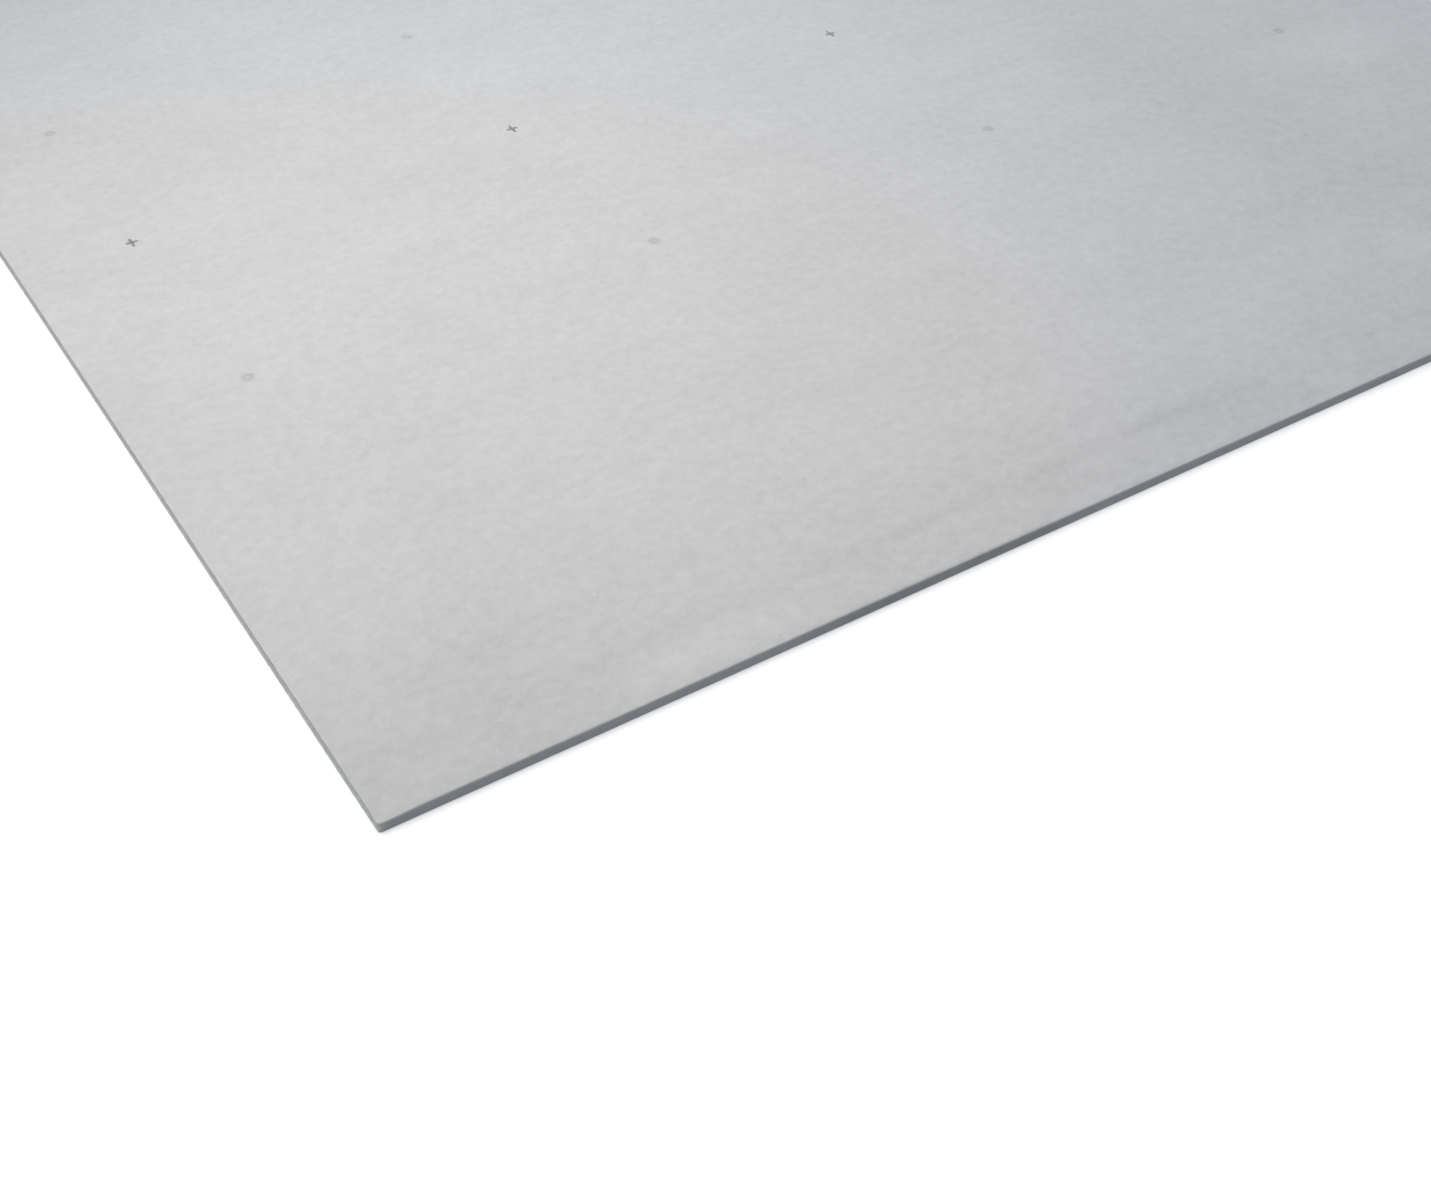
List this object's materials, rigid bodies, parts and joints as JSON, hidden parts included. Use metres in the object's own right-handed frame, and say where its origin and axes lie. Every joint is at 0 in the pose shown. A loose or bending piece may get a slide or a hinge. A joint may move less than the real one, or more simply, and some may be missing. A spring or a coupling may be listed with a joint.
{
  "type": "drywall sheet",
  "caption": "Flat gypsum board with tapered, paper-wrapped long edges and square-cut ends, for lining walls and ceilings.",
  "frame": {"origin": "middle of the back, on the plane that the sheet lies on", "axes": "+X along the length, +Y across the width, +Z from the back to the face"},
  "size_m": [2.4, 1.2, 0.0095],
  "materials": {
    "paper_liner": "matte"
  },
  "bodies": {
    "root": {"drywall_sheet": "paper_liner"}
  },
  "joints": []
}
